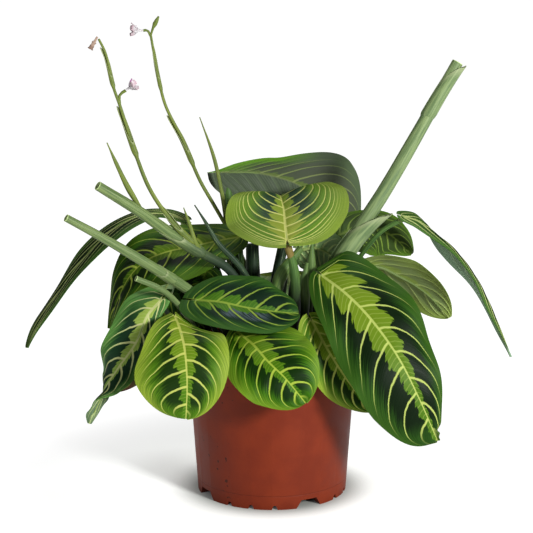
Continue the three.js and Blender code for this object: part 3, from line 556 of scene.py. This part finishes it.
def add_blade(body, leaf, rows, columns, thickness, relief=1.0, materials=(UPPER, UNDER)):
    """A thin closed blade: the upper face, the underside and the edge between them."""
    u = np.linspace(0, 1, rows + 1)
    s = u * (1 - CROWDING) + (1 - np.cos(math.pi * u)) / 2 * CROWDING
    v = np.linspace(-1, 1, columns + 1)
    points, half = blade_grid(leaf, s, v)
    along = np.gradient(points, s, axis=0)
    across = np.gradient(points, v, axis=1)
    normals = unit(np.cross(across, along))
    reach = np.abs(v)[None, :]
    places = [vein_place(leaf, s, v, side) for side in (0, 1)]
    own = np.where(v[None, :] < 0, *places)
    cell = own - np.floor(own)
    quilt = QUILT_HEIGHT * relief * (1 - (2 * cell - 1) ** 2) * np.sin(math.pi * reach**0.8)
    groove = GROOVE_DEPTH * relief * np.exp(-((half * reach / GROOVE_HALF) ** 2))
    top = points + normals * (quilt - groove)[..., None]
    thick = thickness[0] + (thickness[1] - thickness[0]) * reach**2
    bottom = top - normals * thick[..., None]
    upper, lower, rim = sheet_faces(rows + 1, columns + 1)
    faces = upper + lower + rim
    right = np.tile(np.arange(columns) >= columns / 2, 2 * rows)
    right = np.concatenate([right, np.zeros(len(rim), bool)])
    left_veins, right_veins = (
        corner_pairs(faces, place, vein_spacing(along, across, place, s, v) / SPACING_UNIT)
        for place in places
    )
    body.add(
        np.concatenate([top, bottom]),
        faces,
        np.repeat([materials[0], materials[1], materials[0]], [len(upper), len(lower), len(rim)]),
        place=corner_pairs(faces, *np.broadcast_arrays(s[:, None], (v[None, :] + 1) / 2)),
        veins=np.where(np.repeat(right, 4)[:, None], right_veins, left_veins),
        size=corner_pairs(faces, half * reach / LENGTH_UNIT, np.zeros_like(half)),
    )
    return top, normals


def tube_rings(spline, stations, radii, sides):
    """Rings round a curve, kept from twisting from one ring to the next."""
    along = spline.along(stations)
    normal = np.cross(along[0], [0.3, 1, 0.2])
    angles = np.linspace(0, 2 * math.pi, sides, endpoint=False)
    rings = []
    for centre, ahead, radius in zip(spline.at(stations), along, radii):
        normal = unit(normal - np.dot(normal, ahead) * ahead)
        spokes = np.outer(np.cos(angles), normal) + np.outer(np.sin(angles), np.cross(ahead, normal))
        rings.append(centre + spokes * radius)
    return np.array(rings)


def add_rings(body, rings, material, lengths):
    """The skin over rings, with its ends closed. place runs along the tube and round it."""
    count, sides = rings.shape[:2]
    start, end = count * sides, count * sides + 1
    last = start - sides
    faces, corners = [], []
    for ring in range(count - 1):
        near, far = lengths[ring] / LENGTH_UNIT, lengths[ring + 1] / LENGTH_UNIT
        for side in range(sides):
            a, b = ring * sides + side, ring * sides + (side + 1) % sides
            low, high = side / sides, (side + 1) / sides
            faces.append((a, b, b + sides, a + sides))
            corners += [(near, low), (near, high), (far, high), (far, low)]
    for side in range(sides):
        after = (side + 1) % sides
        faces += [(start, after, side), (end, last + side, last + after)]
        corners += [(0, 0)] * 3 + [(lengths[-1] / LENGTH_UNIT, 0)] * 3
    points = [*rings.reshape(-1, 3), rings[0].mean(axis=0), rings[-1].mean(axis=0)]
    body.add(points, faces, material, place=np.array(corners))


def add_tube(body, points, radii, material, sides=TUBE_SIDES, step=4.0):
    spline = Spline(points)
    stations = np.linspace(0, 1, max(4, round(spline.length / step)) + 1)
    rings = tube_rings(spline, stations, between(radii, stations), sides)
    add_rings(body, rings, material, stations * spline.length)
    return spline


def add_cut_end(body, spline, radius):
    """The open end of a cut stem: a rim that turns in to a dark hollow."""
    radii = np.array([1, 0.97, 0.8, 0.55, 0.4]) * radius
    rises = np.array([0, 0.35, 0.3, -0.4 * CUT_DEPTH, -CUT_DEPTH])
    ahead = spline.along([1])
    rings = tube_rings(spline, np.ones(len(radii)), radii, TUBE_SIDES)
    add_rings(body, rings + (rises[:, None] * ahead)[:, None, :], CUT, np.arange(len(radii)))


def add_sheath(body, spline, sheath, material):
    """A leaf base rolled round a stem. It is open at its slanted mouth and its edges overlap."""
    start, end = sheath["start"], sheath["end"]
    angles = np.linspace(0, 1, SHEATH_SIDES)
    steps = np.linspace(0, 1, SHEATH_RINGS)
    stop = 1 - sheath["slant"] * (1 - np.cos(2 * math.pi * (angles - 0.5))) / 2
    stop = stop - FRAY * np.abs(np.sin(40 * angles)) * (1 + np.sin(17 * angles))
    turn = (2 * math.pi * angles * 1.06 + sheath["turn"])[:, None]
    rows = []
    for inward in (0, SHEATH_WALL):
        for step in steps:
            stations = start + (end - start) * step * stop
            ahead = spline.along(stations)
            side = unit(np.cross(ahead, [0.25, 1, 0.1]))
            spoke = side * np.cos(turn) + np.cross(ahead, side) * np.sin(turn)
            swell = 0.6 + 0.4 * smoothstep(step, 0, 0.2)
            radius = sheath["radius"] * swell * (1 - 0.12 * step) * (1 + 0.07 * angles) - inward
            lean = np.outer((step * stop) ** 3, sheath["lean"])
            rows.append(spline.at(stations) + spoke * radius[:, None] + lean)
    upper, lower, rim = sheet_faces(SHEATH_RINGS, SHEATH_SIDES)
    faces = upper + lower + rim
    length = (end - start) * spline.length / LENGTH_UNIT
    across, rise = np.meshgrid(angles, steps)
    body.add(rows, faces, material, place=corner_pairs(faces, rise * length, across),
             veins=corner_pairs(faces, rise, rise))


def root_points(root):
    floor = SOIL_LEVEL - HOLE_DEPTH
    heights = (floor + HOLE_GAP, floor + HOLE_DEPTH / 2, SOIL_LEVEL + UPRIGHT_ABOVE_SOIL)
    return [[*root, height] for height in heights]


# Materials

def colour(code):
    """A hex code of a screen colour as linear light."""
    channels = [int(code[i:i + 2], 16) / 255 for i in (1, 3, 5)]
    return tuple(c / 12.92 if c <= 0.04045 else ((c + 0.055) / 1.055) ** 2.4 for c in channels) + (1,)


class Value:
    """What a node of a paint gives. A sum with it is a node of its own."""

    def __init__(self, paint, socket):
        self.paint = paint
        self.socket = socket

    def __add__(self, other):
        return self.paint.math("ADD", self, other)

    def __sub__(self, other):
        return self.paint.math("SUBTRACT", self, other)

    def __rsub__(self, other):
        return self.paint.math("SUBTRACT", other, self)

    def __mul__(self, other):
        return self.paint.math("MULTIPLY", self, other)

    def __abs__(self):
        return self.paint.math("ABSOLUTE", self)

    def fraction(self):
        return self.paint.math("FRACT", self)

    def ease(self, low, high, start=0.0, end=1.0):
        """From start to end while this goes from low to high."""
        inputs = dict(enumerate((self, low, high, start, end)))
        return self.paint.node("ShaderNodeMapRange", inputs, interpolation_type="SMOOTHSTEP")

    def fade(self, low, high, least=0.0):
        return self.ease(low, high, 1.0, least)


class Paint:
    """Builds one procedural material. Most methods add a node and give back its Value."""

    def __init__(self, name, **sockets):
        self.material = bpy.data.materials.new(name)
        self.material.use_nodes = True
        self.tree = self.material.node_tree
        self.set(**sockets)

    def set(self, **sockets):
        shader = self.tree.nodes["Principled BSDF"]
        for name, value in sockets.items():
            self.feed(shader.inputs[name.replace("_", " ")], value)
        return self.material

    def feed(self, socket, value):
        if isinstance(value, Value):
            self.tree.links.new(value.socket, socket)
        else:
            socket.default_value = colour(value) if isinstance(value, str) else value

    def node(self, kind, inputs, output=0, **settings):
        node = self.tree.nodes.new(kind)
        for name, value in settings.items():
            setattr(node, name, value)
        for key, value in inputs.items():
            self.feed(node.inputs[key], value)
        return Value(self, node.outputs[output])

    def math(self, operation, first, second=0.0):
        return self.node("ShaderNodeMath", {0: first, 1: second}, operation=operation)

    def mix(self, share, first, second, blend="MIX"):
        inputs = {0: share, 6: first, 7: second}
        return self.node("ShaderNodeMix", inputs, 2, data_type="RGBA", blend_type=blend)

    def parts(self, vector):
        node = self.node("ShaderNodeSeparateXYZ", {0: vector}).socket.node
        return [Value(self, socket) for socket in node.outputs]

    def layer(self, name):
        """The two values of a UV layer."""
        return self.parts(self.node("ShaderNodeUVMap", {}, uv_map=name))[:2]

    def point(self, x, y, z):
        return self.node("ShaderNodeCombineXYZ", {0: x, 1: y, 2: z})

    def place(self):
        return self.node("ShaderNodeTexCoord", {}, "Object")

    def noise(self, vector, scale, detail=2.0, roughness=0.5):
        inputs = {"Vector": vector, "Scale": scale, "Detail": detail, "Roughness": roughness}
        return self.node("ShaderNodeTexNoise", inputs)

    def bump(self, height, strength, distance):
        inputs = {"Strength": strength, "Distance": distance, "Height": height}
        self.set(Normal=self.node("ShaderNodeBump", inputs))


def leaf_masks(paint, look, seed):
    """Where the veins, the midrib, the bright band and the dark blotches are, each from 0 to 1."""
    s, across = paint.layer("place")
    cells, spacing = paint.layer("veins")
    reach = abs(across * 2.0 - 1.0)
    sway = paint.noise(paint.point(s, across, seed), 6.0) - 0.5
    cells = cells + sway * 0.22
    cell = cells.fraction()
    to_vein = (0.5 - abs(cell - 0.5)) * (spacing * SPACING_UNIT)
    vein_half = reach.ease(0.0, 0.85, 0.85, 0.25)
    vein = 1.0 - to_vein.ease(vein_half * 0.5, vein_half * 1.35)
    vein = vein * reach.fade(0.68, 0.93) * s.fade(0.9, 0.985, 0.15)
    rib_half = s.ease(0.0, 1.0, 1.25, 0.45)
    rib = (paint.layer("size")[0] * LENGTH_UNIT).fade(rib_half * 0.6, rib_half)
    streaks = paint.noise(paint.point(cells * 13.0, reach * 2.2, seed + 3), 1.0, 3.0, 0.6)
    teeth = paint.noise(paint.point(cells * 5.0, reach * 9.0, seed + 7), 1.0, 1.0)
    lobe = cell.ease(0.0, 0.62) * cell.fade(0.72, 0.96, 0.1)
    width = (lobe * look["lobes"] + look["band_width"]) * s.ease(0.0, 0.85, 1.5, 0.35)
    width = width + (teeth - 0.5) * 0.14 + (cells * 3.0).fraction() * 0.05
    band = (reach - width).fade(-0.012, 0.012)
    ragged = reach + (streaks - 0.5) * 0.5
    blotch = ragged.fade(look["blotch_reach"] - 0.2, look["blotch_reach"] + 0.12)
    blotch = blotch * (1.0 - band) * to_vein.ease(0.25, 0.9)
    begin = look.get("blotch_from", 0.06)
    blotch = blotch * s.ease(begin, begin + 0.18) * s.fade(0.86, 0.97)
    return SimpleNamespace(s=s, across=across, reach=reach, cells=cells, cell=cell, streaks=streaks,
                           vein=vein, rib=rib, band=band, blotch=blotch)


def leaf_upper(name, look, seed):
    paint = Paint(name, Specular_IOR_Level=0.06)
    m = leaf_masks(paint, look, seed)
    to_edge = (m.reach + m.streaks * 0.25).ease(0.72, 1.15)
    base = paint.mix(to_edge, look["margin"], look["edge"])
    mottle = paint.mix(m.streaks.ease(0.34, 0.66), (0.72, 0.76, 0.7, 1), (1.22, 1.18, 1.2, 1))
    base = paint.mix(1.0, base, mottle, "MULTIPLY")
    if "tip" in look:
        tip_colour, tip_start = look["tip"]
        base = paint.mix(m.s.ease(tip_start, tip_start + 0.2), base, tip_colour)
    base = paint.mix(m.blotch * 0.94, base, look["blotch"])
    right_half = m.across.ease(0.495, 0.505)
    # A painted reflection: a grey sheen laid on patches of the right half.
    if "glint" in look:
        glint = right_half * m.streaks.ease(0.4, 0.6, 0.0, 0.6)
        for value, low, high in ((m.s, 0.25, 0.35), (m.reach, 0.1, 0.2)):
            glint = glint * value.ease(low, high) * value.fade(high + 0.25, high + 0.4)
        base = paint.mix(glint, base, look["glint"])
    fine = abs((m.cells * 5.0).fraction() - 0.5)
    plain = paint.mix(m.s.ease(0.15, 0.9), look["band"], look["inner"])
    lined = paint.mix(fine.ease(0.34, 0.5), plain, look["vein"])
    base = paint.mix(m.band, base, paint.mix(0.25, plain, lined))
    base = paint.mix(m.vein * 0.9, base, look["vein"])
    if "stripes" in look:
        # Stripes of painted sheen: dull and pale greys along the veins of the right half.
        dull, pale = look["stripes"]
        lines = paint.math("MAXIMUM", fine.ease(0.25, 0.5, 0.0, 0.6), m.cell.fade(0.0, 0.3))
        base = paint.mix(right_half, base, paint.mix(lines, dull, pale))
    base = paint.mix(m.rib * look.get("rib", 0.8), base, look["vein"])
    paint.bump(m.streaks * 0.5 - m.vein * 0.5, 0.35, 0.0006)
    return paint.set(Base_Color=base, Roughness=m.streaks.ease(0.2, 0.8, 0.42, 0.56))


def leaf_under(name, look, seed):
    paint = Paint(name, Roughness=0.6, Specular_IOR_Level=0.08)
    m = leaf_masks(paint, look, seed)
    plain = colour(look.get("under", UNDERSIDE["plain"]))
    lighter = tuple(min(1, c * 1.25) for c in plain)
    base = paint.mix(m.streaks.ease(0.25, 0.75), plain, lighter)
    base = paint.mix(m.blotch * 0.45, base, UNDERSIDE["blotch"])
    for mask in (m.vein, m.rib):
        base = paint.mix(mask * look.get("under_vein", 0.65), base, UNDERSIDE["vein"])
    paint.bump(m.streaks * 0.4 + m.vein, 0.5, 0.0008)
    return paint.set(Base_Color=base)


def stem_paint(name, pale, dark, root="#0c140a", lines=None, shade_below=0.17):
    """Long thin streaks along a stem, paler here and there, and darker towards the root as painted shade
    deep in the plant.
    """
    paint = Paint(name, Roughness=0.5, Specular_IOR_Level=0.15)
    along, around = paint.layer("place")
    x, y = (paint.math(turn, around * (2 * math.pi)) * 1.5 for turn in ("COSINE", "SINE"))
    streaks = paint.noise(paint.point(x, y, along * 1.6), 2.6)
    patches = paint.noise(paint.place(), 45.0)
    base = paint.mix(streaks.ease(0.34, 0.68), dark, pale)
    base = paint.mix(patches.ease(0.45, 0.75, 0.0, 0.4), base, pale)
    if lines:
        base = paint.mix(streaks.ease(0.6, 0.66), base, lines)
    height = paint.parts(paint.place())[2]
    # Painted shade: below a height the stem turns to the dark root colour.
    base = paint.mix(height.ease(shade_below - 0.03, shade_below, 0.95, 0.0), base, root)
    mouth = paint.layer("veins")[0].ease(0.8, 1.0, 0.0, 0.5)
    base = paint.mix(mouth, base, "#8f9672")
    paint.bump(streaks, 0.1, 0.0001)
    return paint.set(Base_Color=base)


def cut_paint():
    paint = Paint("cut_end", Roughness=0.8)
    hollow = paint.layer("place")[0].ease(0.012, 0.03)
    return paint.set(Base_Color=paint.mix(hollow, "#a8bd7c", "#3a4a2a"))


def petal_paint(name, pale, tint, rough):
    paint = Paint(name, Roughness=rough, Sheen_Weight=0.15)
    share = paint.noise(paint.place(), 420.0) * 0.7 + paint.layer("place")[0] * 0.35
    return paint.set(Base_Color=paint.mix(share.ease(0.42, 0.72), pale, tint))


def pot_paint():
    """Matt moulded plastic: a faint mottle, a moulding line above the foot, specks of soil on the left."""
    paint = Paint("pot_plastic", Specular_IOR_Level=0.12)
    place = paint.place()
    x, _, z = paint.parts(place)
    mottle = paint.noise(place, 60.0, 4.0)
    base = paint.mix(mottle.ease(0.35, 0.7), "#5f1f0c", "#68240e")
    dirty = x.fade(-0.035, -0.02) * paint.noise(place, 22.0)
    specks = paint.noise(place, 260.0, 1.0).ease(0.7, 0.74) * dirty
    base = paint.mix(specks * 1.6, base, "#1c0f0b")
    line = abs(z - 0.0098).fade(0.0001, 0.0006)
    base = paint.mix(line * 0.35, base, "#4a1a10")
    paint.bump(paint.noise(place, 900.0) * 0.15 - line, 0.4, 0.0004)
    return paint.set(Base_Color=base, Roughness=mottle.ease(0.3, 0.7, 0.46, 0.58))


def soil_paint():
    paint = Paint("soil_peat", Roughness=0.95, Specular_IOR_Level=0.1)
    lumps = paint.noise(paint.place(), 260.0, 4.0, 0.7)
    spots = paint.noise(paint.place(), 700.0)
    base = paint.mix(lumps.ease(0.35, 0.65), "#1d140e", "#4a3524")
    paint.bump(lumps, 1.0, 0.003)
    return paint.set(Base_Color=paint.mix(spots.ease(0.66, 0.72), base, "#8a7355"))


def floor_paint():
    """Near white, with a painted shadow round the foot of the pot. Away from the pot it glows a little,
    a painted light, so that it stays white where less light falls.
    """
    paint = Paint("floor", Roughness=0.9, Specular_IOR_Level=0.1, Emission_Color=(1, 1, 1, 1))
    distance = paint.node("ShaderNodeVectorMath", {0: paint.place()}, "Value", operation="LENGTH")
    # A painted light: the glow grows with the distance from the pot.
    glow = distance.ease(0.04, 0.085, 0.0, 0.54) + distance.ease(0.1, 0.25, 0.0, 0.46)
    # A painted shadow: grey round the foot of the pot, paler further out.
    painted_shadow_near_pot = paint.mix(distance.ease(0.046, 0.074), "#8c908a", "#e4e6e3")
    base = paint.mix(distance.ease(0.08, 0.2), painted_shadow_near_pot, "#80807f")
    return paint.set(Base_Color=base, Emission_Strength=glow)


# Pieces

def hold(piece, node, slot):
    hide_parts(node)
    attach(piece, "root")


def make_leaf(leaf, number, paints):
    name, look, end = leaf["name"], LOOKS[leaf["look"]], leaf["stalk_radii"][-1]
    body = Body()
    top, normals = add_blade(body, leaf, BLADE_ROWS, BLADE_COLUMNS, BLADE_THICKNESS)
    top, normals = top[:, BLADE_COLUMNS // 2], normals[:, BLADE_COLUMNS // 2]
    keel_radii = between([end * 0.85, 1.1, 0.9, 0.7, 0.5], np.linspace(0, 1, len(KEEL_ROWS)))
    keel = top[KEEL_ROWS] - normals[KEEL_ROWS] * (keel_radii + KEEL_SUNK)[:, None]
    add_tube(body, keel, keel_radii, KEEL, KEEL_SIDES)
    stalk = [*root_points(leaf["root"]), *leaf["stalk"], keel[0]]
    add_tube(body, stalk, leaf["stalk_radii"][:1] + leaf["stalk_radii"], STALK)
    joint = [top[2] - normals[2], keel[0], leaf.get("joint_end", 2 * keel[0] - top[5])]
    joint_radii = [1.2, max(end * 1.35, 2.7), end * 1.35, end * 1.2]
    add_tube(body, joint, joint_radii, JOINT, THIN_TUBE_SIDES, step=1.0)
    sides = [leaf_upper(name + "_upper", look, number * SEED_STEP),
             leaf_under(name + "_under", look, number * SEED_STEP)]
    rib = paints["dull_rib" if "rib" in look else "rib"]
    piece = body.build(name + "_fine", [*sides, paints["stalk"], rib, paints[leaf["joint"]]])
    hold(piece, name, "leaf_dark" if leaf["look"] in DARK_LOOKS else "leaf")


def add_shoot(body, shoot, material, root=()):
    spline = add_tube(body, [*root, *shoot["path"]], shoot["radii"], material, step=3.0)
    for sheath in shoot.get("sheaths", []):
        add_sheath(body, spline, sheath, material)
    if shoot.get("cut"):
        add_cut_end(body, spline, shoot["radii"][-1])


def make_shoot(shoot, paints):
    body = Body()
    add_shoot(body, shoot, SKIN, root_points(shoot["root"]))
    for branch in shoot.get("branches", []):
        add_shoot(body, branch, BRANCH)
    materials = [paints[shoot["material"]], paints["cut"], paints["shoot"]]
    hold(body.build(shoot["name"] + "_fine", materials), shoot["name"], "stem")


def make_flower(flower, paints):
    """Petals that open round the axis from a short throat."""
    body = Body()
    reach, spread, petals = flower["reach"], flower["spread"], flower["petals"]
    ahead = unit(np.array(flower["axis"], float))
    side = unit(np.cross([0, 0, 1], ahead))
    foot = np.array(flower["foot"], float)
    throat = foot + ahead * reach * 0.4
    tube = [foot, (foot + throat) / 2, throat + ahead * 0.5]
    add_tube(body, tube, [0.7, 0.8, 1.1], 0, THIN_TUBE_SIDES, step=1.0)
    for petal in range(petals):
        turn = 2 * math.pi * petal / petals + 0.4
        outward = side * math.cos(turn) + np.cross(ahead, side) * math.sin(turn)
        midrib = [throat + ahead * reach * forward + outward * reach * out
                  for forward, out in ((0, 0.06), (0.28, spread * 0.5), (0.55, spread))]
        blade = dict(PLAIN_LEAF, midrib=midrib, face=[ahead - outward], lobe=0,
                     width=[reach * flower["breadth"]] * 2, wave=[0.25, 2, petal * 0.3])
        paint = int(petal == 1)
        add_blade(body, blade, PETAL_ROWS, PETAL_COLUMNS, PETAL_THICKNESS, 0.0, (paint, paint))
    piece = body.build(flower["name"] + "_fine", [paints[name] for name in flower["paints"]])
    hold(piece, flower["name"], flower["slot"])


def make_crumbs(material):
    """Crumbs of soil strewn over the surface, each a small uneven lump."""
    chance = np.random.default_rng(7)
    body = Body()
    lump = np.kron(np.eye(3), [[1], [-1]])   # a point on either side of the middle along each axis
    faces = [(0, 2, 4), (2, 1, 4), (1, 3, 4), (3, 0, 4), (2, 0, 5), (1, 2, 5), (3, 1, 5), (0, 3, 5)]
    for _ in range(CRUMBS):
        angle = chance.uniform(0, 2 * math.pi)
        radius = CRUMB_SPREAD * math.sqrt(chance.uniform(0, 1))
        size = chance.uniform(0.5, 1.9)
        height = SOIL_LEVEL + CRUMB_RISE - CRUMB_FALL * (radius / CRUMB_SPREAD) ** 2
        shape = lump * size * chance.uniform(0.6, 1.2, (6, 1)) * [1, 1, 0.7]
        body.add(shape + [radius * math.cos(angle), radius * math.sin(angle), height], faces, 0)
    piece = body.build("soil_crumbs", [material])
    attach(piece, "root")


def smooth_shading():
    """Modifier nodes that shade every face smooth and drop the normals that the mesh came with."""
    group = bpy.data.node_groups.new("smooth_shading", "GeometryNodeTree")
    for direction in ("INPUT", "OUTPUT"):
        group.interface.new_socket("Geometry", in_out=direction, socket_type="NodeSocketGeometry")
    kinds = ("NodeGroupInput", "GeometryNodeRemoveAttribute", "GeometryNodeSetShadeSmooth",
             "NodeGroupOutput")
    chain = [group.nodes.new(kind) for kind in kinds]
    chain[1].inputs["Name"].default_value = "custom_normal"
    for before, after in zip(chain, chain[1:]):
        group.links.new(before.outputs[0], after.inputs[0])
    return group


def dress_cad_node(node, material, shading):
    """A CAD node keeps its mesh. Modifiers shade it smooth, with its corners kept sharp."""
    for slot in node.material_slots:
        slot.material = material
    node.modifiers.new("smooth", "NODES").node_group = shading
    node.modifiers.new("weld", "WELD").merge_threshold = WELD_DISTANCE
    node.modifiers.new("corners", "EDGE_SPLIT").split_angle = CORNER_ANGLE


# Stage

def make_camera():
    data = bpy.data.cameras.new("camera")
    data.lens = CAMERA_LENS
    camera = in_scene("camera", data)
    camera.location = CAMERA_PLACE
    camera.rotation_euler = (math.pi / 2 - CAMERA_DROP, 0, 0)
    bpy.context.scene.camera = camera


def add_light(name, place, size, power):
    """A square light that looks at the middle of the plant."""
    data = bpy.data.lights.new(name, "AREA")
    data.size = size
    data.energy = power
    light = in_scene(name, data)
    light.location = place
    light.rotation_euler = (Vector(LIT_PLACE) - Vector(place)).to_track_quat("-Z", "Y").to_euler()


def make_stage():
    mesh = bpy.data.meshes.new("floor")
    corners = [(-1, -1), (1, -1), (1, 1), (-1, 1)]
    mesh.from_pydata([(x * FLOOR_HALF, y * FLOOR_HALF, 0) for x, y in corners], [], [(0, 1, 2, 3)])
    mesh.materials.append(floor_paint())
    floor = in_scene("floor", mesh)
    world = bpy.data.worlds.new("studio")
    world.use_nodes = True
    background = world.node_tree.nodes["Background"]
    background.inputs["Color"].default_value = (1, 1, 1, 1)
    background.inputs["Strength"].default_value = WORLD_LIGHT
    bpy.context.scene.world = world
    bpy.context.scene.view_settings.view_transform = "Standard"
    for name, light in LIGHTS.items():
        add_light(name, *light)


def build():
    paints = {name: stem_paint(name, **colours) for name, colours in STEM_COLOURS.items()}
    paints.update({name: petal_paint(name, **colours) for name, colours in PETAL_COLOURS.items()})
    paints.update(cut=cut_paint(), soil=soil_paint())
    shading = smooth_shading()
    dress_cad_node(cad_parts["pot"], pot_paint(), shading)
    dress_cad_node(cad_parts["soil"], paints["soil"], shading)
    make_crumbs(paints["soil"])
    for number, leaf in enumerate(LEAVES):
        make_leaf(leaf, number, paints)
    for shoot in SHOOTS:
        make_shoot(shoot, paints)
    for flower in FLOWERS:
        make_flower(flower, paints)
    make_stage()
    make_camera()


build()
